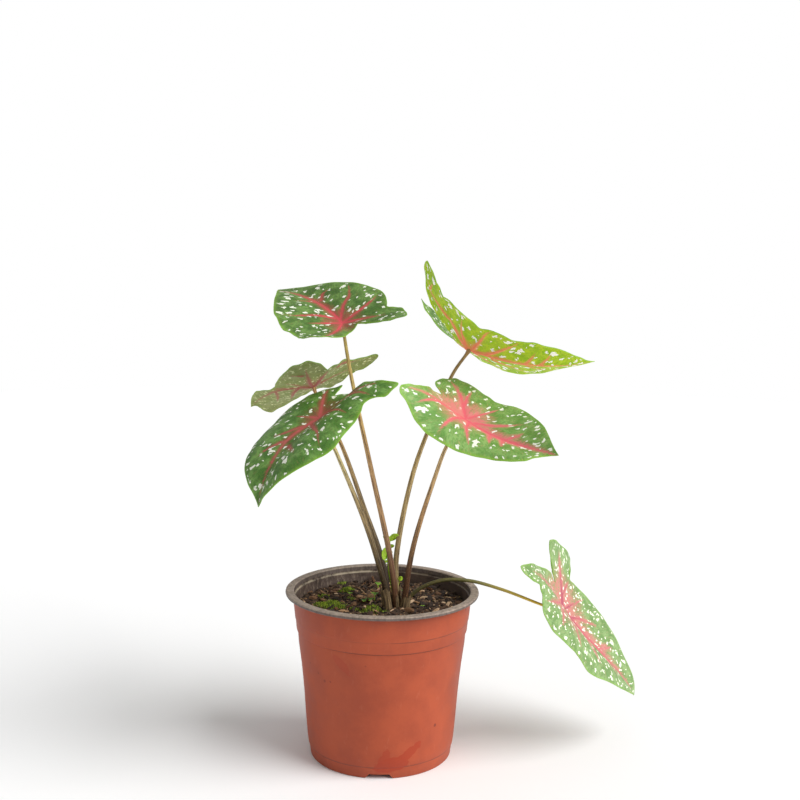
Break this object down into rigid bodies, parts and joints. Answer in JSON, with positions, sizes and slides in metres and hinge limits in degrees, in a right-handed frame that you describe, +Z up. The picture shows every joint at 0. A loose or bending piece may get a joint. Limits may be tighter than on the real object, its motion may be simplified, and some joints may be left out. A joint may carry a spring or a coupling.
{
  "type": "potted caladium plant",
  "caption": "Potted caladium: heart-shaped green leaves with pink veins and white flecks on slender arching stalks, rooted in potting mix in a round tapered plastic nursery pot.",
  "frame": {"origin": "centre of the pot's base, on the flat the pot stands on", "axes": "+Z up along the pot's axis; +X to the right and -Y towards the front, where the long-stalked leaf leans out to +X"},
  "size_m": [0.321, 0.2158, 0.3836],
  "materials": {
    "pot_plastic": "matt terracotta outside, dark grey-brown rim and inside",
    "potting_mix": "damp dark potting mix with bark chips and moss",
    "tuber_skin": "rough brown papery skin",
    "seedling_green": "fresh bright green",
    "leaf_upper_left": "semi-matt dark green leaf skin with pink-red veins, cream flecks and a thin yellow-green margin",
    "leaf_left_back": "dull olive underside of a leaf with dusty pink veins and pale flecks",
    "leaf_left_front": "semi-matt dark green leaf skin with pink-red veins, cream flecks and a thin yellow-green margin",
    "leaf_right_front": "semi-matt mid green leaf skin with broad pink-red veins, cream flecks and a thin yellow-green margin",
    "leaf_right_top": "leaf lit through from above, lime green with salmon veins and cream flecks",
    "leaf_low_right": "pale green leaf skin with a wide pink flush along the veins and many small cream flecks",
    "petiole_skin": "smooth khaki-tan stalk with fine brown streaks",
    "trailing_petiole": "smooth olive-green stalk"
  },
  "bodies": {
    "root": {"pot": "pot_plastic", "soil": "potting_mix", "tuber": "tuber_skin", "seedling": "seedling_green", "leaf_upper_left": "leaf_upper_left", "leaf_left_back": "leaf_left_back", "leaf_left_front": "leaf_left_front", "leaf_right_front": "leaf_right_front", "leaf_right_top": "leaf_right_top", "leaf_low_right": "leaf_low_right", "petiole_upper_left": "petiole_skin", "petiole_left_back": "petiole_skin", "petiole_left_front": "petiole_skin", "petiole_right_front": "petiole_skin", "petiole_right_top": "petiole_skin", "petiole_low_right": "trailing_petiole"}
  },
  "joints": []
}
